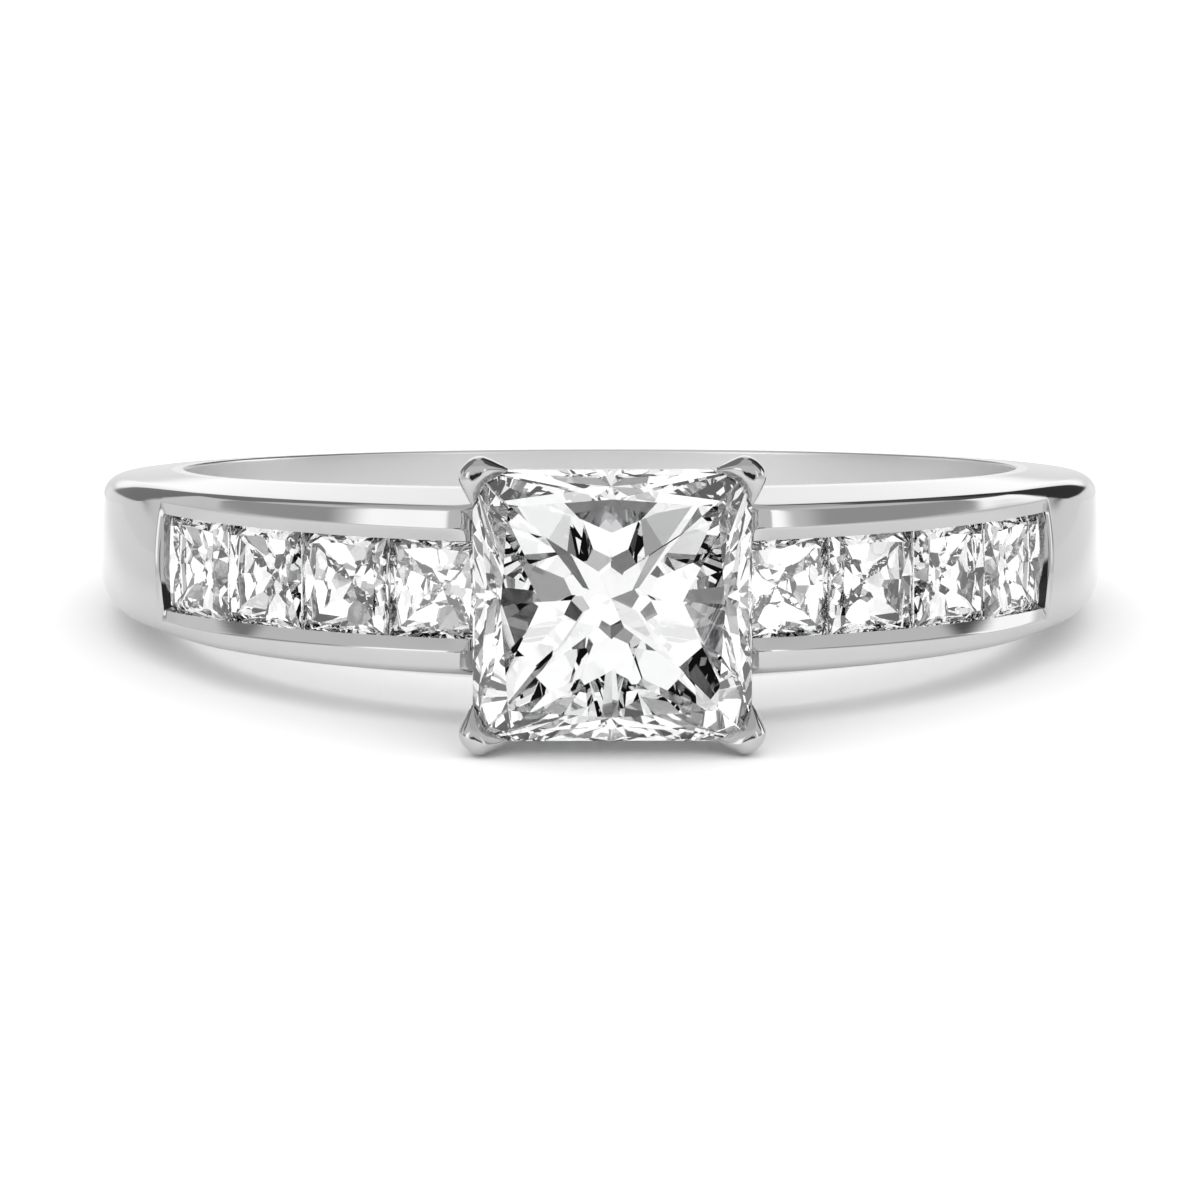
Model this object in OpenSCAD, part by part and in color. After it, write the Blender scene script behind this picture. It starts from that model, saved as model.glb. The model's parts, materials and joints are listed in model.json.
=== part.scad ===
// A white metal ring: a tapering band with a channel of square stones in each
// shoulder, and a square centre stone in a head of four V-shaped prongs.
// The ring lies on its side, as it rests on a table: the finger axis is nearly
// upright, and the head points to -Y.

/* [Finger hole] */
// Inside diameter of the ring, finger size 7
inner_d = 17.35; // [17.2:0.05:17.5]

/* [Band] */
// Thickness of the band, from the finger to its outer face
wall_t = 1.75; // [1.73:0.01:1.8]
// Width of the band at the finger, under the head
front_w = 4.06; // [4:0.02:4.16]
// Width of the band at the finger, at the back
back_w = 1.65; // [1.55:0.05:1.9]
// How far each side face leans in on its way out
side_lean = 0.17; // [0.12:0.01:0.2]
// How much further it leans in under the head
front_lean = 0.13; // [0.08:0.01:0.16]
// Drop of the outer face from its middle to its edges
crown_drop = 0.1; // [0.06:0.01:0.14]
// Rounding of the outer edges along the shoulders
shoulder_edge = 0.12; // [0.08:0.01:0.16]
// Rounding of the outer edges along the plain shank
shank_edge = 0.44; // [0.36:0.02:0.5]
// Angle from the head at which the shoulder's crisp edge starts to fade
crisp_to_a = 60; // [58:1:62]
// Angle from the head at which the shank's round edge is reached
round_from_a = 82; // [80:1:88]

/* [Channels] */
// Width of a side stone, across the band
side_w = 2.1; // [2.06:0.01:2.12]
// Length of a side stone, along the band
side_l = 2.05; // [1.98:0.01:2.06]
// Angle from the head at which the first side stone starts
first_a = 14.5; // [14.3:0.1:14.5]
// Angle from one side stone to the next
pitch_a = 11.88; // [11.86:0.01:11.9]
// Angle from the head at which a channel ends
channel_end_a = 62.4; // [62.2:0.1:62.8]
// Width of the channel's mouth, a little less than the stones
mouth_w = 2; // [1.98:0.01:2.02]
// Width of the bevel along each edge of the mouth
mouth_bevel = 0.24; // [0.2:0.01:0.26]
// Diameter of the light hole under each side stone
light_hole_d = 0.8; // [0.7:0.05:0.9]

/* [Head] */
// Width of the centre stone, along the band
centre_w = 5.65; // [5.6:0.01:5.7]
// Height of the centre stone, across the band
centre_h = 5.52; // [5.5:0.01:5.6]
// Distance from the finger axis to the middle of its girdle
girdle_r = 12.42; // [12.4:0.02:12.5]
// Distance from the finger axis to the top of the prongs
prong_top_r = 12.86; // [12.84:0.01:12.92]
// Thickness of the gallery rail that joins the prongs
rail_t = 0.42; // [0.38:0.02:0.46]
// Diameter of the light hole under the centre stone
culet_hole_d = 2.5; // [2.4:0.1:2.6]

/* [Fit] */
// Clearance left between a stone and the metal
gap = 0.04; // [0.03:0.01:0.05]

/* [Hidden] */

METAL = [0.84, 0.84, 0.85];
STONE = [0.92, 0.95, 0.98];

inner_r = inner_d / 2;
outer_r = inner_r + wall_t;
stones_a_side = 4;

// Proportions of a cut stone, for a half width of 1: half the girdle's
// thickness, the height of the crown, how far the table reaches at the middle
// of a side and at a corner, the depth of the pavilion, how far the kite facets
// reach from the culet, and the points [in from the edge, depth] at which the
// chevron facets meet on the middle line of a side.
GIRDLE = 0.02;
CROWN = 0.204;
TABLE_SIDE = 0.805;
TABLE_CORNER = 0.75;
CENTRE_DEPTH = 1.27;
CENTRE_KITE = 0.49;
CENTRE_CHEVRONS = [[0.84, 0.3], [0.51, 0.775], [0.29, 1.02]];
SIDE_DEPTH = 1.06;
SIDE_KITE = 0.5;
SIDE_CHEVRONS = [[0.74, 0.44], [0.42, 0.77]];

// Middle of the side stones' girdle, so that their tables lie just under the
// outer face
side_girdle_r = outer_r - 0.39;
// Bottom of the channel
floor_r = inner_r + 0.22;
// Reach of the rounding of the inner edges, up the side face
INNER_EDGE = 0.26;

// The shelf under the head, and the rail's place above it
shelf_r = inner_r + 1.03;
rail_r = inner_r + 1.7;

function blend01(t) = let (u = min(1, max(0, t))) u * u * (3 - 2 * u);
function mix(a, b, t) = a + (b - a) * t;
// Angle from the head, 0 to 180, for any angle round the ring
function from_head(a) = abs(a > 180 ? a - 360 : a);
// A point at radius r and angle a from the head, seen along the finger axis
function polar(r, a) = [r * sin(a), -r * cos(a)];

// Shape of the band at angle a from the head
function half_w(a) = (front_w + back_w) / 4 + (front_w - back_w) / 4 * cos(a);
function lean(a) = side_lean + front_lean * pow(max(0, cos(a)), 2);
function edge(a) = mix(shoulder_edge, shank_edge,
                       blend01((from_head(a) - crisp_to_a) / (round_from_a - crisp_to_a)));

// Upper half of the band's section, as points [radius, height], from inside the
// finger hole over the side face to the middle of the outer face
function half_section(a) =
    let (zi = half_w(a), zo = zi - lean(a), e = edge(a),
         corner = [outer_r - crown_drop, zo],
         shoulder = [inner_r + INNER_EDGE, zi - lean(a) * 0.1],
         back = corner - shoulder,
         start = corner - back * e / norm(back),
         stop_z = zo - e,
         stop = [outer_r - crown_drop * pow(stop_z / zo, 2), stop_z])
    concat(
        [[inner_r - 0.35, zi - 0.45], [inner_r + 0.08, zi - 0.07], shoulder],
        [for (t = [0 : 0.25 : 1])
            start * pow(1 - t, 2) + corner * 2 * t * (1 - t) + stop * pow(t, 2)],
        [for (t = [2 / 3, 1 / 3, 0])
            [outer_r - crown_drop * pow(stop_z * t / zo, 2), stop_z * t]]);

// The whole section, closed through the finger hole
function section(a) =
    let (up = half_section(a), n = len(up))
    concat(up, [for (i = [n - 2 : -1 : 0]) [up[i][0], -up[i][1]]]);

// The band as one lofted body, before the hole and the channels are cut
STATIONS = 90;
module band_body() {
    rings = [for (i = [0 : STATIONS - 1]) section(360 * i / STATIONS)];
    m = len(rings[0]);
    points = [for (i = [0 : STATIONS - 1], p = rings[i])
        let (xy = polar(p[0], 360 * i / STATIONS)) [xy[0], xy[1], p[1]]];
    faces = [for (i = [0 : STATIONS - 1], j = [0 : m - 1])
        let (i2 = (i + 1) % STATIONS, j2 = (j + 1) % m,
             p = i * m + j, q = i * m + j2, r = i2 * m + j2, s = i2 * m + j)
        each [[p, r, q], [p, s, r]]];
    polyhedron(points, faces);
}

// The channel's section: the mouth with its bevels, the groove that holds the
// stones' edges, and walls that close in under them
module channel_section() {
    mouth = mouth_w / 2;
    groove = side_w / 2 + gap;
    half = [
        [floor_r, 0.38],
        [side_girdle_r - 0.08, groove],
        [side_girdle_r + 0.11, groove],
        [side_girdle_r + 0.19, mouth],
        [outer_r - 0.17, mouth],
        [outer_r - 0.06, mouth + mouth_bevel],
        [outer_r + 0.5, mouth + mouth_bevel + 1.1],
    ];
    polygon(concat(half, [for (i = [len(half) - 1 : -1 : 0]) [half[i][0], -half[i][1]]]));
}

module channel_cut() {
    start_a = first_a - 1.2;
    rotate([0, 0, start_a - 90])
        rotate_extrude(angle = channel_end_a - start_a, $fn = 180)
            channel_section();
    for (i = [0 : stones_a_side - 1])
        rotate([0, 0, first_a + pitch_a * (i + 0.5)])
            rotate([90, 0, 0])
                translate([0, 0, inner_r - 0.5])
                    cylinder(d = light_hole_d, h = 1.2, $fn = 32);
}

// The space under the head, between the rounded ends of the shoulders
module shoulder_gap() {
    right = [polar(shelf_r, 15), polar(outer_r - 0.35, 15.6), polar(outer_r - 0.14, 16.3),
             polar(outer_r - 0.03, 17.5), polar(outer_r + 0.04, 19.5), polar(outer_r + 1, 19.5)];
    floor_arc = [for (a = [-12 : 3 : 12]) polar(shelf_r, a)];
    left = [for (i = [len(right) - 1 : -1 : 0]) [-right[i][0], right[i][1]]];
    linear_extrude(height = front_w + 2, center = true)
        polygon(concat(left, floor_arc, right));
}

// One stone, its girdle at the origin and its table towards +Z
module cut_stone(w, h, depth, kite, chevrons) {
    n = len(chevrons);
    size = [w / 2, h / 2, w / 2];
    // four kite facets point from the culet to the corners, with a flat facet
    // between each two; both end where they meet the last chevron facets
    y1 = chevrons[n - 2][0];
    z1 = chevrons[n - 2][1];
    y2 = chevrons[n - 1][0];
    z2 = chevrons[n - 1][1];
    chevron_slope = (z2 - z1) / (y1 - y2);
    chevron_turn = z2 - chevron_slope * (1 - y2);
    flat_slope = (depth - z2) / y2;
    kite_z = -z2 - chevron_slope * y2 + (chevron_turn + chevron_slope) * kite;
    kite_slope = (kite_z + depth) / (2 * kite);
    spread = flat_slope / kite_slope - 1;
    flat_y = (depth - z2 - chevron_slope * y2) / (flat_slope - chevron_turn * spread - chevron_slope);
    flat_z = -GIRDLE - depth + flat_slope * flat_y;
    quarter = concat(
        [[1, 1, GIRDLE], [1, 1, -GIRDLE],
         [TABLE_CORNER, TABLE_CORNER, GIRDLE + CROWN], [0, TABLE_SIDE, GIRDLE + CROWN],
         [kite, kite, kite_z - GIRDLE],
         [spread * flat_y, flat_y, flat_z], [-spread * flat_y, flat_y, flat_z]],
        [for (c = chevrons) [0, c[0], -GIRDLE - c[1]]]);
    m = len(quarter);
    culet = 4 * m;
    top = 0;
    bottom = 1;
    table = 2;
    side = 3;
    kite_end = 4;
    flat_r = 5;
    flat_l = 6;
    apex = 7;
    last = apex + n - 1;
    points = concat(
        [for (k = [0 : 3], p = quarter)
            let (q = [cos(90 * k) * p[0] - sin(90 * k) * p[1],
                      sin(90 * k) * p[0] + cos(90 * k) * p[1], p[2]])
            [q[0] * size[0], q[1] * size[1], q[2] * size[2]]],
        [[0, 0, (-GIRDLE - depth) * size[2]]]);
    faces = concat(
        [[for (k = [3 : -1 : 0]) each [k * m + side, k * m + table]]],
        [for (k = [0 : 3])
            let (c = k * m, d = (k + 1) % 4 * m, e = (k + 3) % 4 * m)
            each concat(
                [[c + top, d + top, d + bottom, c + bottom],
                 [c + top, c + side, d + top],
                 [c + top, c + table, c + side],
                 [d + top, c + side, d + table],
                 [c + bottom, d + bottom, c + apex],
                 [c + bottom, c + last - 1, c + last, c + flat_r, c + kite_end],
                 [d + bottom, d + kite_end, c + flat_l, c + last, c + last - 1],
                 [culet, c + flat_r, c + last, c + flat_l],
                 [culet, e + flat_l, c + kite_end, c + flat_r]],
                [for (j = [0 : 1 : n - 3]) [c + bottom, c + apex + j, c + apex + j + 1]],
                [for (j = [0 : 1 : n - 3]) [d + bottom, c + apex + j + 1, c + apex + j]])]);
    polyhedron(points, faces);
}

// Turns a piece's +Z outward along the head's axis, at radius r
module outward(r) {
    rotate([90, 0, 0]) translate([0, 0, r]) children();
}

module centre_stone_shape(grow = 0) {
    outward(girdle_r)
        cut_stone(centre_w + 2 * grow, centre_h + 2 * grow,
                  CENTRE_DEPTH, CENTRE_KITE, CENTRE_CHEVRONS);
}

// Outlines of a V prong, in the frame of the stone's corner: [out along the
// diagonal, sideways]. Its foot is a plain bar. At the seat it stands round the
// corner, with a wing along each side. The claw draws it in over the crown, and
// the tip is a small oval.
FOOT = [[0.36, -0.12], [0.34, -0.26], [0.2, -0.36], [-0.4, -0.4], [-0.4, -0.2], [-0.4, 0],
        [-0.4, 0.2], [-0.4, 0.4], [0.2, 0.36], [0.34, 0.26], [0.36, 0.12]];
SEAT = [[0.2, -0.08], [0.17, -0.21], [0.06, -0.36], [-0.55, -0.55], [-0.55, -0.28], [-0.55, 0],
        [-0.55, 0.28], [-0.55, 0.55], [0.06, 0.36], [0.17, 0.21], [0.2, 0.08]];
CLAW = [[0.2, -0.07], [0.17, -0.19], [0.06, -0.33], [-0.2, -0.36], [-0.27, -0.18], [-0.29, 0],
        [-0.27, 0.18], [-0.2, 0.36], [0.06, 0.33], [0.17, 0.19], [0.2, 0.07]];
TIP = [[0.02, -0.05], [0.01, -0.1], [-0.04, -0.15], [-0.13, -0.16], [-0.17, -0.09], [-0.18, 0],
       [-0.17, 0.09], [-0.13, 0.16], [-0.04, 0.15], [0.01, 0.1], [0.02, 0.05]];
TIP_MIDDLE = [-0.09, 0];
foot_r = inner_r + 0.5;
foot_corner = [1.72, 1.5];
stone_corner = [centre_w / 2, centre_h / 2];
seat_low_r = girdle_r - 0.12;
seat_high_r = girdle_r + 0.1;

// The prong's cap between its seat and its tip, t from 0 to 1: [radius, outline]
function cap_level(t) =
    [mix(prong_top_r, seat_high_r, pow(1 - 0.85 * t, 2)),
     [for (i = [0 : len(SEAT) - 1])
         SEAT[i] * pow(1 - t, 2) + CLAW[i] * 2 * t * (1 - t) + TIP[i] * pow(t, 2)]];

// The prong's outlines from foot to top: [radius, corner, outline]
CAP_STEPS = 4;
PRONG_LEVELS = concat(
    [[foot_r, foot_corner, FOOT], [seat_low_r, stone_corner, SEAT]],
    [for (i = [0 : CAP_STEPS]) let (level = cap_level(i / CAP_STEPS))
        [level[0], stone_corner, level[1]]],
    [[prong_top_r, stone_corner, [for (p = TIP) TIP_MIDDLE + (p - TIP_MIDDLE) * 0.45]]]);

// The prong's points from foot to top, as [along the band, across it, radius]
PRONG_POINTS = [for (level = PRONG_LEVELS, p = level[2])
    [level[1][0] + (p[0] - p[1]) / sqrt(2), level[1][1] + (p[0] + p[1]) / sqrt(2), level[0]]];

module v_prong() {
    m = len(FOOT);
    n = len(PRONG_LEVELS);
    polyhedron(PRONG_POINTS, concat(
        [[for (j = [m - 1 : -1 : 0]) j], [for (j = [0 : m - 1]) (n - 1) * m + j]],
        [for (i = [0 : n - 2], j = [0 : m - 1])
            let (j2 = (j + 1) % m, a = i * m + j2, b = a + m, c = (i + 1) * m + j, d = i * m + j)
            each [[a, b, c], [a, c, d]]]));
}

module gallery_rail() {
    t = (rail_r + rail_t / 2 - foot_r) / (seat_low_r - foot_r);
    corner = mix(foot_corner, stone_corner, t);
    difference() {
        translate([-corner[0], -corner[1], rail_r])
            cube([2 * corner[0], 2 * corner[1], rail_t]);
        translate([-corner[0] + rail_t, -corner[1] + rail_t, rail_r - 1])
            cube([2 * (corner[0] - rail_t), 2 * (corner[1] - rail_t), rail_t + 2]);
    }
}

module head() {
    outward(0) {
        for (sx = [0, 1], sy = [0, 1])
            mirror([sx, 0, 0]) mirror([0, sy, 0]) v_prong();
        gallery_rail();
    }
}

// The ring settles on the two lower prongs and on the back of the band. The
// reach of each, straight down at a tilt t, decides the tilt.
function prong_reach(t) = max([for (p = PRONG_POINTS) p[1] * cos(t) - p[2] * sin(t)]);
function back_reach(t) = max([for (p = half_section(180)) if (p[0] > inner_r)
    p[1] * cos(t) + p[0] * sin(t)]);
function settle(lo, hi, n = 30) =
    let (t = (lo + hi) / 2)
    n == 0 ? t : prong_reach(t) > back_reach(t) ? settle(t, hi, n - 1) : settle(lo, t, n - 1);
rest_tilt = settle(0, 20);

// The origin is under the middle of the ring's outline
front_y = min([for (p = PRONG_POINTS) -p[2] * cos(rest_tilt) - p[1] * sin(rest_tilt)]);
back_y = max([for (p = half_section(180)) p[0] * cos(rest_tilt) + p[1] * sin(rest_tilt)]);

module at_rest() {
    translate([0, -(front_y + back_y) / 2, back_reach(rest_tilt)])
        rotate([-rest_tilt, 0, 0])
            children();
}

module band_with_head() {
    color(METAL) at_rest() difference() {
        union() {
            difference() {
                band_body();
                shoulder_gap();
                channel_cut();
                mirror([1, 0, 0]) channel_cut();
            }
            head();
        }
        cylinder(r = inner_r, h = 20, center = true, $fn = 180);
        centre_stone_shape(gap);
        outward(0) cylinder(d = culet_hole_d, h = rail_r, $fn = 64);
    }
}

module centre_stone() {
    color(STONE) at_rest() centre_stone_shape();
}

// Side stone i, counted from the head, on the right (+X) or the left (-X)
module side_stone(i, right) {
    a = first_a + pitch_a * (i - 0.5);
    color(STONE) at_rest()
        rotate([0, 0, right ? a : -a])
            outward(side_girdle_r)
                cut_stone(side_l, side_w, SIDE_DEPTH, SIDE_KITE, SIDE_CHEVRONS);
}

module side_stone_left_1() { side_stone(1, false); }
module side_stone_left_2() { side_stone(2, false); }
module side_stone_left_3() { side_stone(3, false); }
module side_stone_left_4() { side_stone(4, false); }
module side_stone_right_1() { side_stone(1, true); }
module side_stone_right_2() { side_stone(2, true); }
module side_stone_right_3() { side_stone(3, true); }
module side_stone_right_4() { side_stone(4, true); }

band_with_head();
centre_stone();
side_stone_left_1();
side_stone_left_2();
side_stone_left_3();
side_stone_left_4();
side_stone_right_1();
side_stone_right_2();
side_stone_right_3();
side_stone_right_4();
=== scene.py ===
"""Looks of the channel set ring: metal, clear stones, pale floor, soft studio light and camera."""

import json
import math

import bmesh
import bpy
from mathutils import Matrix, Vector


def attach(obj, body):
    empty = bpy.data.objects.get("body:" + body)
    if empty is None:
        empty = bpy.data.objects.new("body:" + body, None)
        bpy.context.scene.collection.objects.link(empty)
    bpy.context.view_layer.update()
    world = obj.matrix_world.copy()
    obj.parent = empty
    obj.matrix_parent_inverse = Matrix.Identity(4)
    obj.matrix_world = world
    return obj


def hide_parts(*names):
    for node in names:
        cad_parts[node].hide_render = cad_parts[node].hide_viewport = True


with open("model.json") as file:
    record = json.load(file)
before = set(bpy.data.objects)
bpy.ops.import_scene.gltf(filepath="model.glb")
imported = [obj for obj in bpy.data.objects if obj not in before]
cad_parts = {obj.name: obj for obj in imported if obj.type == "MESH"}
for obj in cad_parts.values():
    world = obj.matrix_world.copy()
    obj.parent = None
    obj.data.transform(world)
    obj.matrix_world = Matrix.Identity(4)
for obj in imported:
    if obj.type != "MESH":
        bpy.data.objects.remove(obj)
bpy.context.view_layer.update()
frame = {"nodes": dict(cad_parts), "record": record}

# Everything below is modelled in millimetres in the ring's own frame, as in part.scad: the finger
# axis is Z and the head points to -Y. REST lays it down on the floor, in metres.
hole = next(m for m in frame["record"]["mounts"] if m["name"] == "finger_hole")
tilt = math.atan2(hole["axis"][1], hole["axis"][2])
MM = 0.001
REST = Matrix.Translation(hole["pos_m"]) @ Matrix.Rotation(-tilt, 4, "X") @ Matrix.Scale(MM, 4)

# Band, with the sizes of part.scad. Angles are in degrees from the head.
INNER_R = hole["dims"]["r_mm"]
WALL = 1.75
OUTER_R = INNER_R + WALL
FRONT_W, BACK_W = 4.06, 1.65
SIDE_LEAN, FRONT_LEAN = 0.17, 0.13
CROWN_DROP = 0.1
SHOULDER_EDGE, SHANK_EDGE = 0.12, 0.44
# Three things are finer here than in part.scad. The shoulder's crisp edge fades out sooner:
CRISP_TO, ROUND_FROM = 52, 82
# The rounding of the inner edges thins towards the back, over these angles:
INNER_EDGE, BACK_INNER_EDGE = 0.22, 0.08
INNER_EDGE_THINS = (60, 90)
# Where the channel ends, the outer face drops a little more towards its edges:
SWELL = 0.1
SWELL_RISES, SWELL_FALLS = (50, 62), (74, 63)

# Channels
SIDE_W, GAP = 2.1, 0.04
FIRST_A, PITCH_A, STONES_A_SIDE = 14.5, 11.88, 4
CHANNEL_FROM, CHANNEL_TO = 13.3, 62.4
GIRDLE_R = OUTER_R - 0.39
GROOVE_HIGH_R, GROOVE_LOW_R = GIRDLE_R + 0.11, GIRDLE_R - 0.08
FLOOR_R, FLOOR_HALF_W = INNER_R + 0.22, 0.38
LIGHT_HOLE_D = 0.8
# Half width of the mouth, width of the bevel along it and at its end, and depth of the lip
MOUTH, BEVEL, END_BEVEL, LIP = 1.0, 0.25, 0.08, 0.17
# Thickness of the lip, rounding of the bevel's outer corner, and a strip beside it that stays flat
LIP_T, RIM_ROUNDING, RIM_STRIP = 0.03, 0.035, 0.06
# Over these angles the rim's lines spread to these shares of the plain face
RIM_SPREADS = (CHANNEL_TO + 2, CHANNEL_TO + 11)
SPREAD_BEVEL, SPREAD_LIP = 0.8, 0.74

# Head, and the angles at which its shelf ends and the full shoulder starts
SHELF_R = INNER_R + 1.03
SHELF_TO, SHOULDER_FROM = 15.0, 19.5
STONE_W, STONE_H = 5.65, 5.52
CENTRE_GIRDLE_R = 12.42
PRONG_TOP_R = 12.86
FOOT_R = INNER_R + 0.5
RAIL_R, RAIL_T = INNER_R + 1.7, 0.42
CULET_HOLE_D = 2.5
# How much larger than the stone its seat in the prongs is cut
SEAT_GROWTH = 1.014


def mix(a, b, t):
    return a + (b - a) * t


def fade(value, start, full):
    """Smooth change from 0 at start to 1 at full, which may lie on either side of it."""
    t = min(1, max(0, (value - start) / (full - start)))
    return t * t * (3 - 2 * t)


def polar(r, a, z):
    """Point at radius r and a degrees from the head, seen along the finger axis."""
    a = math.radians(a)
    return Vector((r * math.sin(a), -r * math.cos(a), z))


def curve(start, corner, end, steps):
    """Points of a quadratic curve that rounds a corner, both ends included."""
    return [
        start * (1 - t) ** 2 + corner * 2 * t * (1 - t) + end * t**2
        for t in (i / steps for i in range(steps + 1))
    ]


def between(a, b, n):
    """n points evenly spaced strictly between a and b."""
    return [mix(a, b, (i + 1) / (n + 1)) for i in range(n)]


# Sections of the band: points (radius, height). How many each stretch has:
BORE_N, INNER_N, SIDE_N, OUTER_N, FACE_N, RIM_N, PLAIN_N = 6, 8, 4, 10, 6, 6, 13
# Least width of the strip beside the bevel and of the bevel
LEAST_STRIP, LEAST_BEVEL = 0.03, 0.02
# Largest share of the section's half width that an outer edge takes, and how far an inner edge's
# rounding goes up the side face, as a share of its reach in the bore
MOST_EDGE, UP_THE_SIDE = 0.6, 1.2


def half_width(a):
    return (FRONT_W + BACK_W) / 4 + (FRONT_W - BACK_W) / 4 * math.cos(math.radians(a))


def lean(a):
    return SIDE_LEAN + FRONT_LEAN * max(0, math.cos(math.radians(a))) ** 2


def edge(a):
    return mix(SHOULDER_EDGE, SHANK_EDGE, fade(a, CRISP_TO, ROUND_FROM))


def top_r(a):
    """Radius of the outer face: the shoulders end in a round fall to the shelf under the head."""
    u = min(1, max(0, (SHOULDER_FROM - a) / (SHOULDER_FROM - SHELF_TO)))
    return OUTER_R - (OUTER_R - SHELF_R) * (1 - math.sqrt(1 - u**3))


class Section:
    """The band's section a degrees from the head: its skin from the bore to the channel's lip, and
    what lies between the two lips, which is either the channel or the plain outer face."""

    def __init__(self, a, end):
        """end is how far up the bevel at the channel's end the section lies, from 0 to 1."""
        self.top = top_r(a)
        swell = SWELL * fade(a, *SWELL_RISES) * fade(a, *SWELL_FALLS)
        self.drop = (CROWN_DROP + swell) * (self.top - SHELF_R) / (OUTER_R - SHELF_R)
        side_z = half_width(a)
        self.edge_z = side_z - lean(a) / WALL * (self.top - INNER_R)
        outer_reach = min(edge(a), self.edge_z * MOST_EDGE)
        inner_reach = mix(INNER_EDGE, BACK_INNER_EDGE, fade(a, *INNER_EDGE_THINS))
        # the two corners before they are rounded, and where each rounding starts and stops
        inner = Vector((INNER_R, side_z))
        outer = Vector((self.top - self.drop, self.edge_z))
        bore_end = Vector((INNER_R, side_z - inner_reach))
        side_start = mix(inner, outer, UP_THE_SIDE * inner_reach / (self.top - INNER_R))
        side_end = outer + (side_start - outer).normalized() * outer_reach
        face_start = self.on_face(self.edge_z - outer_reach)
        rim = self.rim(a, end, face_start)
        self.lip = rim[-1]
        self.skin = (
            [Vector((INNER_R, bore_end.y * i / BORE_N)) for i in range(BORE_N)]
            + curve(bore_end, inner, side_start, INNER_N)
            + between(side_start, side_end, SIDE_N)
            + curve(side_end, outer, face_start, OUTER_N)
            + [self.on_face(z) for z in between(face_start.y, rim[0].y, FACE_N)]
            + rim
        )

    def on_face(self, z):
        """Point of the slightly crowned outer face at height z."""
        return Vector((self.top - self.drop * (z / self.edge_z) ** 2, z))

    def rim(self, a, end, face_start):
        """From the outer face over the bevel to the channel's lip, or along the plain face."""
        spread = fade(a, *RIM_SPREADS)
        bevel_z = mix(MOUTH + BEVEL, face_start.y * SPREAD_BEVEL, spread)
        bevel_z = min(bevel_z, face_start.y - LEAST_STRIP)
        lip_z = mix(MOUTH, MOUTH + BEVEL - LEAST_BEVEL, end)
        lip_z = min(mix(lip_z, face_start.y * SPREAD_LIP, spread), bevel_z - LEAST_BEVEL)
        if end == 1 or a < SHELF_TO:
            return [self.on_face(mix(bevel_z, lip_z, i / (RIM_N - 1))) for i in range(RIM_N)]
        face_r = self.on_face(lip_z).x
        lip = Vector((min(mix(OUTER_R - LIP, face_r, end), face_r), lip_z))
        bevel = self.on_face(bevel_z)
        strip = max(RIM_STRIP, (face_start - bevel).length)
        before = mix(bevel, face_start, RIM_STRIP / strip)
        # the corner between face and bevel is rounded over less than half of either
        start, stop = (
            bevel + way.normalized() * min(RIM_ROUNDING, way.length * 0.45)
            for way in (before - bevel, lip - bevel)
        )
        return [before] + curve(start, bevel, stop, RIM_N - 3) + [lip]

    def face(self):
        """The plain face between the lips, as deep as they are."""
        sunk = Vector((self.on_face(self.lip.y).x - self.lip.x, 0))
        heights = between(self.lip.y, -self.lip.y, PLAIN_N)
        return [self.on_face(z) - sunk for z in heights]

    def channel(self):
        """The channel between the lips: a groove that holds the stones' edges, closing under it."""
        groove = SIDE_W / 2 + GAP
        wall = [
            Vector((OUTER_R - LIP - LIP_T, MOUTH)),
            Vector((GROOVE_HIGH_R, groove)),
            Vector((GROOVE_LOW_R, groove)),
            Vector((mix(FLOOR_R, GROOVE_LOW_R, 0.5), mix(FLOOR_HALF_W, groove, 0.5))),
            Vector((FLOOR_R, FLOOR_HALF_W)),
            Vector((FLOOR_R, FLOOR_HALF_W / 2)),
        ]
        # where the shoulder's end falls below the wall, its points gather just under the cut
        cut, under, apart = self.top - self.drop, 0.0005, 0.004
        least = 0.0
        for p in reversed(wall):
            if p.x > cut:
                p.x = cut - under
                p.y = max(p.y, least + apart)
            least = max(least, p.y)
        return wall + [Vector((FLOOR_R, 0))] + [Vector((p.x, -p.y)) for p in reversed(wall)]


FALL_STEPS, CHANNEL_STEPS, SHANK_STEPS = 28, 42, 112


def stations():
    """The band's sections from the head to the back: (angle, end, has channel, has face)."""
    # the shelf, where the channel starts with a plain wall
    out = [(float(a), 0, False, True) for a in range(0, 13)]
    out.append((CHANNEL_FROM, 0, True, True))
    out += [(a, 0, True, False) for a in (13.9, 14.5, SHELF_TO)]
    # even steps down the shoulder's round end
    for i in range(1, FALL_STEPS):
        u = math.cos(math.pi / 2 * i / FALL_STEPS) ** (2 / 3)
        out.append((SHOULDER_FROM - u * (SHOULDER_FROM - SHELF_TO), 0, True, False))
    out.append((SHOULDER_FROM, 0, True, False))
    for i in range(1, CHANNEL_STEPS):
        out.append((mix(SHOULDER_FROM, CHANNEL_TO, i / CHANNEL_STEPS), 0, True, False))
    # the channel's end wall, the short bevel over it, and the plain shank
    out.append((CHANNEL_TO, 0, True, True))
    run = math.degrees(END_BEVEL / OUTER_R)
    out += [(CHANNEL_TO + run * t, t, False, True) for t in (0.1, 0.25, 0.5, 0.75, 0.9, 1.0)]
    out += [(CHANNEL_TO + run + past, 1, False, True) for past in (0.1, 0.3)]
    last = out[-1][0]
    out += [(mix(last, 180, i / SHANK_STEPS), 1, False, True) for i in range(1, SHANK_STEPS + 1)]
    return out


def new_object(name, bm):
    """A closed piece, still in millimetres in the ring's frame."""
    mesh = bpy.data.meshes.new(name)
    bmesh.ops.recalc_face_normals(bm, faces=bm.faces)
    bm.to_mesh(mesh)
    bm.free()
    obj = bpy.data.objects.new(name, mesh)
    bpy.context.scene.collection.objects.link(obj)
    return obj


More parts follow.
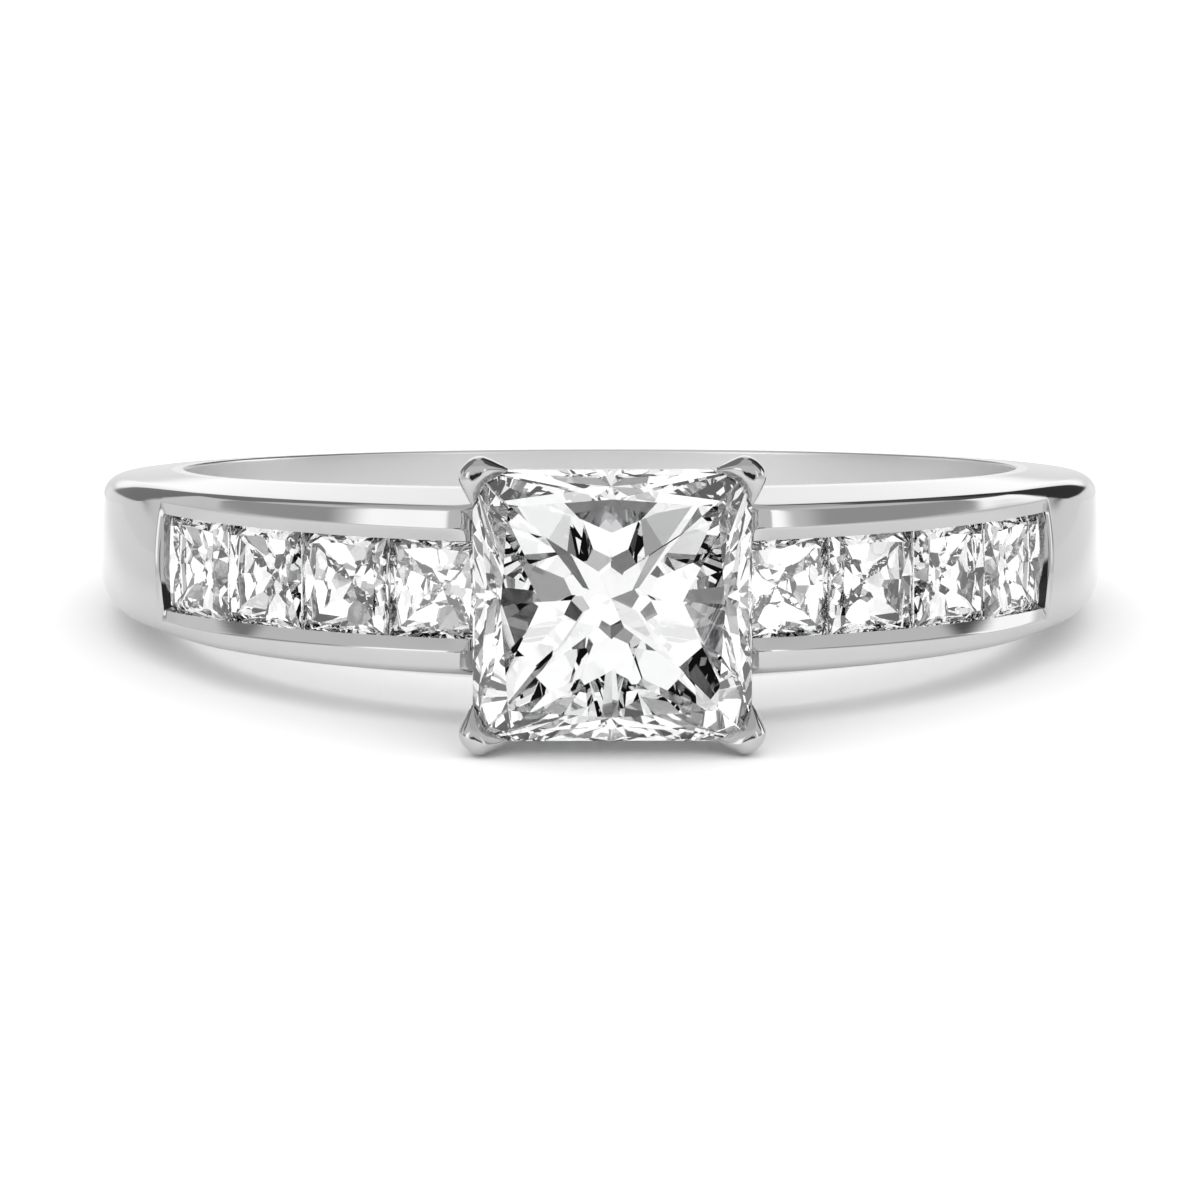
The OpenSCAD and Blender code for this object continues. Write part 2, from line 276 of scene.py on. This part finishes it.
def combine(obj, other, operation):
    """Joins other to obj, or cuts it away, and removes it."""
    modifier = obj.modifiers.new("combine", "BOOLEAN")
    modifier.operation = operation
    modifier.solver = "EXACT"
    modifier.object = other
    bpy.context.view_layer.update()
    evaluated = obj.evaluated_get(bpy.context.evaluated_depsgraph_get())
    made = bpy.data.meshes.new_from_object(evaluated)
    obj.modifiers.clear()
    old, obj.data = obj.data, made
    bpy.data.meshes.remove(old)
    made.name = obj.name
    bpy.data.meshes.remove(other.data)


def lay_down(obj, sharp):
    """Puts a finished piece in its place at rest, smooth but for edges over sharp degrees."""
    obj.data.transform(REST)
    obj.data.polygons.foreach_set("use_smooth", [True] * len(obj.data.polygons))
    obj.data.set_sharp_from_angle(angle=math.radians(sharp))


def band_bm():
    """The band with its channels, but without the light holes."""
    bm = bmesh.new()

    def row(points, a):
        return [bm.verts.new(polar(p.x, a, p.y)) for p in points]

    half = stations()
    whole = [(s, 1) for s in half] + [(s, -1) for s in reversed(half[1:-1])]
    rows = []
    for (a, end, has_channel, has_face), side in whole:
        section = Section(a, end)
        angle = a * side
        rows.append(
            {
                "upper": row(section.skin, angle),
                "lower": row([Vector((p.x, -p.y)) for p in section.skin[1:]], angle),
                "channel": row(section.channel(), angle) if has_channel else None,
                "face": row(section.face(), angle) if has_face else None,
            }
        )
    for pair in zip(rows, rows[1:] + rows[:1]):
        kind = "channel" if all(r["channel"] for r in pair) else "face"
        one, two = (
            r["upper"] + r[kind] + list(reversed(r["lower"])) + [r["upper"][0]] for r in pair
        )
        for a, b, c, d in zip(one, one[1:], two[1:], two):
            bm.faces.new((a, b, c, d))
    # walls at the channels' ends
    for r in rows:
        if r["channel"] and r["face"]:
            upper, lower = r["upper"][-1], r["lower"][-1]
            bm.faces.new([upper] + r["face"] + [lower] + list(reversed(r["channel"])))
    return bm


def drill(bm, a, d, low, high, segments):
    """A round hole towards the finger axis, a degrees from the head."""
    turn = Matrix.Rotation(math.radians(a), 4, "Z") @ Matrix.Rotation(math.radians(90), 4, "X")
    bmesh.ops.create_cone(
        bm,
        cap_ends=True,
        segments=segments,
        radius1=d / 2,
        radius2=d / 2,
        depth=high - low,
        matrix=turn @ Matrix.Translation((0, 0, (low + high) / 2)),
    )


band = new_object("band", band_bm())
# the light holes go from inside the finger hole to a little above the metal over it
holes = bmesh.new()
inside_r = INNER_R - 0.5
for i in range(STONES_A_SIDE):
    for side in (1, -1):
        middle_a = side * (FIRST_A + PITCH_A * (i + 0.5))
        drill(holes, middle_a, LIGHT_HOLE_D, inside_r, FLOOR_R + 0.3, 32)
drill(holes, 0, CULET_HOLE_D, inside_r, SHELF_R + 0.4, 64)
combine(band, new_object("holes", holes), "DIFFERENCE")
lay_down(band, sharp=40)

# Head: four V prongs and the rail that joins them. Outlines are in the frame of the stone's corner:
# (out along the diagonal, sideways). The foot is a plain bar, the seat stands round the corner with
# a wing along each side, the claw draws it in over the crown, and the tip is a small oval.
FOOT = [(0.36, -0.12), (0.34, -0.26), (0.2, -0.36), (-0.4, -0.4), (-0.4, -0.2), (-0.4, 0),
        (-0.4, 0.2), (-0.4, 0.4), (0.2, 0.36), (0.34, 0.26), (0.36, 0.12)]
SEAT = [(0.2, -0.08), (0.17, -0.21), (0.06, -0.36), (-0.55, -0.55), (-0.55, -0.28), (-0.55, 0),
        (-0.55, 0.28), (-0.55, 0.55), (0.06, 0.36), (0.17, 0.21), (0.2, 0.08)]
CLAW = [(0.2, -0.07), (0.17, -0.19), (0.06, -0.33), (-0.2, -0.36), (-0.27, -0.18), (-0.29, 0),
        (-0.27, 0.18), (-0.2, 0.36), (0.06, 0.33), (0.17, 0.19), (0.2, 0.07)]
TIP = [(0.02, -0.05), (0.01, -0.1), (-0.04, -0.15), (-0.13, -0.16), (-0.17, -0.09), (-0.18, 0),
       (-0.17, 0.09), (-0.13, 0.16), (-0.04, 0.15), (0.01, 0.1), (0.02, 0.05)]
TIP_MIDDLE = Vector((-0.09, 0))
TIP_RISE = 0.0077
SEAT_LOW_R, SEAT_HIGH_R = CENTRE_GIRDLE_R - 0.12, CENTRE_GIRDLE_R + 0.1
FOOT_CORNER = Vector((1.72, 1.5))
STONE_CORNER = Vector((STONE_W / 2, STONE_H / 2))
FOOT_STEPS, CAP_STEPS, TIP_STEPS = 8, 12, 5
# The cap rises steeply and levels off, along this much of a parabola
CAP_CURVE = 0.85


def outline(corners, reach=0.36):
    """A closed outline whose corners are rounded from this share of each side."""
    points = [Vector(c) for c in corners]
    out = []
    for i, corner in enumerate(points):
        before, after = points[i - 1], points[(i + 1) % len(points)]
        out += curve(mix(corner, before, reach), corner, mix(corner, after, reach), 5)
    return out


def prong_levels():
    """Sections of a prong from its foot to its top: (radius, corner, outline)."""
    foot, seat, claw, tip = (outline(shape) for shape in (FOOT, SEAT, CLAW, TIP))
    out = []
    for i in range(FOOT_STEPS + 1):
        t = i / FOOT_STEPS
        corner = mix(FOOT_CORNER, STONE_CORNER, t)
        out.append((mix(FOOT_R, SEAT_LOW_R, t), corner, [mix(f, s, t) for f, s in zip(foot, seat)]))
    bends = [curve(s, c, t, CAP_STEPS) for s, c, t in zip(seat, claw, tip)]
    for i in range(CAP_STEPS + 1):
        below = (1 - CAP_CURVE * i / CAP_STEPS) ** 2
        r = mix(PRONG_TOP_R, SEAT_HIGH_R, below)
        out.append((r, STONE_CORNER, [bend[i] for bend in bends]))
    for i in range(1, TIP_STEPS):
        t = 1 - i / TIP_STEPS
        shape = [mix(TIP_MIDDLE, p, t) for p in tip]
        out.append((PRONG_TOP_R - TIP_RISE * t * t, STONE_CORNER, shape))
    return out


def head_frame(x, y, r):
    """Point of the head: x along the band, y across it, r outward."""
    return Vector((x, -r, y))


def bridge(bm, rows):
    """Faces between the rings of points that follow each other in rows."""
    for one, two in rows:
        for i in range(len(one)):
            j = (i + 1) % len(one)
            bm.faces.new((one[i], one[j], two[j], two[i]))


def prong_bm(sx, sy):
    """The prong in the quarter of the head with these signs of x and y."""
    bm = bmesh.new()
    rows = []
    for r, corner, shape in prong_levels():
        ring = []
        for p in shape:
            x = corner.x + (p.x - p.y) / math.sqrt(2)
            y = corner.y + (p.x + p.y) / math.sqrt(2)
            ring.append(bm.verts.new(head_frame(sx * x, sy * y, r)))
        rows.append(ring)
    bridge(bm, zip(rows, rows[1:]))
    bm.faces.new(rows[0])
    bm.faces.new(rows[-1])
    return bm


def rail_bm():
    """Square rail with rounded edges and corners."""
    t = (RAIL_R + RAIL_T / 2 - FOOT_R) / (SEAT_LOW_R - FOOT_R)
    half, inner_radius = RAIL_T / 2, 0.08
    pivot = mix(FOOT_CORNER, STONE_CORNER, t) - Vector((1, 1)) * (RAIL_T + inner_radius)
    section = outline([(half, half), (-half, half), (-half, -half), (half, -half)], 0.3)
    bm = bmesh.new()
    rows = []
    for sx, sy, turn in ((1, 1, 0), (-1, 1, 90), (-1, -1, 180), (1, -1, 270)):
        for step in range(7):
            angle = math.radians(turn + 15 * step)
            row = []
            for p in section:
                reach = inner_radius + half + p.x
                x = sx * pivot.x + math.cos(angle) * reach
                y = sy * pivot.y + math.sin(angle) * reach
                row.append(bm.verts.new(head_frame(x, y, RAIL_R + half + p.y)))
            rows.append(row)
    bridge(bm, zip(rows, rows[1:] + rows[:1]))
    return bm


def seat_bm():
    """The centre stone, a little larger, in the ring's frame."""
    bm = bmesh.new()
    bm.from_mesh(frame["nodes"]["centre_stone"].data)
    middle = Vector((0, -CENTRE_GIRDLE_R, 0))
    grow = Matrix.Scale(SEAT_GROWTH, 4)
    grow = Matrix.Translation(middle) @ grow @ Matrix.Translation(-middle)
    bmesh.ops.transform(bm, matrix=grow @ REST.inverted(), verts=bm.verts)
    bmesh.ops.remove_doubles(bm, verts=bm.verts, dist=1e-4)
    return bm


head = new_object("head", prong_bm(1, 1))
for sx, sy in ((-1, 1), (1, -1), (-1, -1)):
    combine(head, new_object("prong", prong_bm(sx, sy)), "UNION")
combine(head, new_object("rail", rail_bm()), "UNION")
combine(head, new_object("seat", seat_bm()), "DIFFERENCE")
lay_down(head, sharp=38)


# Materials


class Nodes:
    """Short calls for a material's or the world's node tree."""

    def __init__(self, tree):
        self.tree = tree

    def add(self, kind, inputs=None, **settings):
        node = self.tree.nodes.new(kind)
        for key, value in settings.items():
            setattr(node, key, value)
        for key, value in (inputs or {}).items():
            if isinstance(value, bpy.types.NodeSocket):
                self.tree.links.new(value, node.inputs[key])
            else:
                node.inputs[key].default_value = value
        return node

    def math(self, operation, a, b=0.0):
        return self.add("ShaderNodeMath", {0: a, 1: b}, operation=operation).outputs[0]

    def ramp(self, value, low, high, to_low=0.0, to_high=1.0):
        """Smooth change from to_low to to_high while value goes from low to high."""
        inputs = {"Value": value, "From Min": low, "From Max": high}
        inputs.update({"To Min": to_low, "To Max": to_high})
        node = self.add("ShaderNodeMapRange", inputs, interpolation_type="SMOOTHSTEP")
        return node.outputs["Result"]

    def value(self, factor, a, b):
        """Number between a and b."""
        return self.add("ShaderNodeMix", {0: factor, 2: a, 3: b}, data_type="FLOAT").outputs[0]

    def colour(self, factor, a, b):
        """Colour between a and b."""
        return self.add("ShaderNodeMix", {0: factor, 6: a, 7: b}, data_type="RGBA").outputs[2]

    def noise(self, place, scale, detail, roughness=0.5):
        """Noise from 0 to 1. The scale is how many of its spots lie on a metre."""
        inputs = {"Vector": place, "Scale": scale, "Detail": detail, "Roughness": roughness}
        return self.add("ShaderNodeTexNoise", inputs).outputs["Fac"]


def grey(tone, blue=0.0):
    """A grey with this much more blue."""
    return (tone, tone, tone + blue, 1)


def new_material(name):
    """The material, its nodes, the place on the object, and a call that sets the shader."""
    material = bpy.data.materials.new(name)
    material.use_nodes = True
    material.node_tree.nodes.clear()
    nodes = Nodes(material.node_tree)
    place = nodes.add("ShaderNodeTexCoord").outputs["Object"]

    def finish(kind, inputs):
        shader = nodes.add(kind, inputs)
        nodes.add("ShaderNodeOutputMaterial", {"Surface": shader.outputs["BSDF"]})
        return material

    return nodes, place, finish


def metal_material():
    n, place, finish = new_material("polished_white_gold")
    cloud = n.noise(place, scale=900, detail=3)
    hair = n.add("ShaderNodeMapping", {"Vector": place, "Scale": (1.0, 1.0, 14.0)})
    scratch = n.noise(hair.outputs["Vector"], scale=2600, detail=4, roughness=0.7)
    bump = n.add("ShaderNodeBump", {"Strength": 0.03, "Distance": 0.00001, "Height": scratch})
    # the finger hole's wall has a satin finish, and is painted a lighter colour: painted light that
    # brightens the wall
    arm = n.add("ShaderNodeVectorMath", {0: place, 1: hole["pos_m"]}, operation="SUBTRACT")
    arm = n.add(
        "ShaderNodeVectorMath", {0: arm.outputs[0], 1: hole["axis"]}, operation="CROSS_PRODUCT"
    )
    radius = n.add("ShaderNodeVectorMath", {0: arm.outputs[0]}, operation="LENGTH")
    full, none = (INNER_R + 0.2) * MM, (INNER_R + 0.4) * MM
    satin_and_painted_light = n.ramp(radius.outputs["Value"], full, none, 1.0, 0.0)
    polished = n.colour(cloud, grey(0.52, 0.005), grey(0.56, 0.005))
    polish = n.ramp(cloud, 0.3, 0.7, 0.05, 0.09)
    return finish(
        "ShaderNodeBsdfPrincipled",
        {
            # the lighter colour in the finger hole is painted light
            "Base Color": n.colour(satin_and_painted_light, polished, grey(0.76, 0.005)),
            "Metallic": 1.0,
            "Roughness": n.value(satin_and_painted_light, polish, 0.3),
            "Normal": bump.outputs["Normal"],
        },
    )


def stone_material():
    n, place, finish = new_material("clear_diamond")
    cloud = n.noise(place, scale=700, detail=2)
    return finish(
        "ShaderNodeBsdfPrincipled",
        {
            "Base Color": n.colour(cloud, (0.985, 0.99, 1, 1), grey(1)),
            "Roughness": 0.0,
            "IOR": 2.417,
            "Transmission Weight": 1.0,
        },
    )


# Floor: how wide it is, where its middle lies in front of the origin, and how far to the left and
# right it starts to be greyer and is so in full
FLOOR_SIZE, FLOOR_Y = 44 * MM, -6 * MM
GREYER_FROM, GREYER_TO = 12 * MM, 16 * MM


def floor_material():
    n, place, finish = new_material("pale_floor")
    white = n.colour(n.noise(place, scale=60, detail=3), grey(0.93), grey(0.95))
    # greyer at its sides, because the shank's sides reflect it
    across = n.math("ABSOLUTE", n.add("ShaderNodeSeparateXYZ", {0: place}).outputs["X"])
    tone = n.colour(n.ramp(across, GREYER_FROM, GREYER_TO), white, grey(0.78))
    return finish("ShaderNodeBsdfDiffuse", {"Color": tone})


metal = metal_material()
stone = stone_material()
for piece in (band, head):
    piece.data.materials.clear()
    piece.data.materials.append(metal)
    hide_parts("band_with_head")
    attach(piece, "root")
for name, node in frame["nodes"].items():
    if name != "band_with_head":
        for slot in node.material_slots:
            slot.material = stone

# A white board. Past its edge the tent's own brightness shows in the reflections.
bpy.ops.mesh.primitive_plane_add(size=FLOOR_SIZE, location=(0, FLOOR_Y, 0))
floor = bpy.context.object
floor.name = "floor"
floor.data.materials.append(floor_material())

# Studio light: an even white tent for the floor and the camera. What polished metal reflects and
# what shines through the stones is the same tent with soft boxes and dark gaps in it.
world = bpy.data.worlds.new("tent")
bpy.context.scene.world = world
world.use_nodes = True
world.node_tree.nodes.clear()
world.cycles.sampling_method = "NONE"
w = Nodes(world.node_tree)
direction = w.add("ShaderNodeTexCoord").outputs["Generated"]
xyz = w.add("ShaderNodeSeparateXYZ", {0: direction}).outputs
# Bearing from the front, right positive, and height over the horizon, in degrees
bearing = w.math("ARCTAN2", xyz["X"], w.math("MULTIPLY", xyz["Y"], -1.0))
bearing = w.math("MULTIPLY", bearing, math.degrees(1))
height = w.math("MULTIPLY", w.math("ARCSINE", xyz["Z"]), math.degrees(1))
either_side = w.math("ABSOLUTE", bearing)


def gap(value, low, high, soft):
    """1 between low and high, falling to 0 over soft on each side."""
    begins, ends = w.ramp(value, low - soft, low), w.ramp(value, high, high + soft, 1.0, 0.0)
    return w.math("MULTIPLY", begins, ends)


def patch(across, sides, heights, soft_side, soft_height):
    """A zone between two heights and two bearings, or with across=either_side a pair of them."""
    return w.math("MULTIPLY", gap(across, *sides, soft_side), gap(height, *heights, soft_height))


DISC_SOFT = 2


def disc(a, e, radius):
    """A round zone at bearing a and height e."""
    a, e = math.radians(a), math.radians(e)
    middle = (math.sin(a) * math.cos(e), -math.cos(a) * math.cos(e), math.sin(e))
    cosine = w.add("ShaderNodeVectorMath", {0: direction, 1: middle}, operation="DOT_PRODUCT")
    none, full = (math.cos(math.radians(radius + soft)) for soft in (DISC_SOFT, -DISC_SOFT))
    return w.ramp(cosine.outputs["Value"], none, full)


def studio(brightness, zones):
    """The tent's brightness, with each zone (mask, brightness) laid over those before it."""
    for mask, tone in zones:
        brightness = w.value(mask, brightness, tone)
    return brightness


REFLECTED = (
    # grey ceiling, seen in the rounded edges
    (w.ramp(height, 38, 52), 0.68),
    # front soft boxes, the middle one dimmer
    (patch(either_side, (-1, 34), (-1, 24), 8, 6), 0.85),
    (patch(bearing, (-56, -36), (-1, 24), 8, 4), 1.7),
    (patch(bearing, (36, 41), (-1, 24), 4, 4), 1.8),
    # dark slot under it, seen in the tables of the stones
    (patch(either_side, (-1, 14), (-8, 2.5), 4, 2), 0.03),
    # dark gaps between the front and the side boxes
    (patch(bearing, (-98, -68), (2, 16), 6, 4), 0.48),
    (patch(bearing, (54, 98), (2, 16), 8, 4), 0.48),
    # side boxes, the right one brighter
    (patch(bearing, (100, 127), (1, 16), 5, 5), 1.7),
    (patch(bearing, (-126, -104), (1, 16), 5, 5), 0.95),
    # back soft box
    (patch(either_side, (165, 181), (2, 24), 5, 4), 1.3),
    # dark flags beside it, seen in the shoulders' upper edges
    (patch(bearing, (100, 166), (22, 54), 6, 4), 0.12),
    (patch(bearing, (-166, -100), (22, 54), 6, 4), 0.28),
    (patch(bearing, (131, 160), (-1, 36), 4, 2), 0.05),
    (patch(bearing, (-160, -131), (-1, 36), 4, 2), 0.27),
    # under them, past the floor, as bright as the floor
    (patch(either_side, (128, 165), (-30, -4), 6, 3), 1.0),
)
# Lamps and dark flags that shine through the stones
REFRACTED = (
    (disc(0, 90, 22), 0.25),
    (disc(-57, -1, 24), 0.25),
    (disc(-98, 35, 17), 1.8),
    (disc(-51, 25, 12), 0.5),
    (disc(76, 14, 13), 0.0),
    (disc(0, 26, 6), 0.0),
    (disc(14, 5, 6), 0.25),
    (disc(40, 24, 5), 1.0),
    (disc(-12, 35, 6), 0.25),
    (disc(24, 14, 5), 0.0),
    (disc(-26, 12, 5), 0.0),
    (disc(28, 48, 7), 0.1),
    (disc(-30, 50, 7), 0.1),
)
# Brightness of the tent itself, for reflections, through the stones, and for floor and camera
WALLS_REFLECTED, WALLS_REFRACTED, WALLS_PLAIN = 0.85, 1.3, 1.35
ray = w.add("ShaderNodeLightPath").outputs
reflected = studio(WALLS_REFLECTED, REFLECTED)
refracted = studio(WALLS_REFRACTED, REFRACTED)
light = w.value(ray["Is Transmission Ray"], reflected, refracted)
plain = w.math("MAXIMUM", ray["Is Camera Ray"], ray["Is Diffuse Ray"])
strength = w.value(plain, light, WALLS_PLAIN)
background = w.add("ShaderNodeBackground", {"Color": grey(1), "Strength": strength})
w.add("ShaderNodeOutputWorld", {"Surface": background.outputs[0]})

# Camera, from the fit of the photograph: distance from the middle of the ring in mm, bearing to the
# left of the front and height over the ring's own plane in degrees, then in pixels of the photo's
# frame its width, the focal length and how far the middle of the ring lies above the frame's.
DISTANCE, BEARING, RISE = 400.0, 1.15, 6.6
FRAME_PX, FOCAL_PX, RAISED_PX = 1200, 19160, 65.5
SENSOR = 36
side, rise = math.radians(BEARING), math.radians(RISE)
away = Vector((-math.sin(side) * math.cos(rise), -math.cos(side) * math.cos(rise), math.sin(rise)))
data = bpy.data.cameras.new("camera")
data.sensor_width = SENSOR
data.lens = FOCAL_PX / FRAME_PX * SENSOR
data.clip_start, data.clip_end = 0.01, 20
camera = bpy.data.objects.new("camera", data)
bpy.context.scene.collection.objects.link(camera)
look = (-away).to_track_quat("-Z", "Y").to_matrix().to_4x4()
down = Matrix.Rotation(-math.atan(RAISED_PX / FOCAL_PX), 4, "X")
turned = (REST.to_3x3() * (1 / MM)).to_4x4()
camera.matrix_world = Matrix.Translation(REST @ (away * DISTANCE)) @ turned @ look @ down
bpy.context.scene.camera = camera

# Light passes many facets before it leaves a stone
scene = bpy.context.scene
scene.view_settings.view_transform = "Standard"
scene.cycles.max_bounces = 24
scene.cycles.transmission_bounces = 24
scene.cycles.glossy_bounces = 12
scene.cycles.use_denoising = True
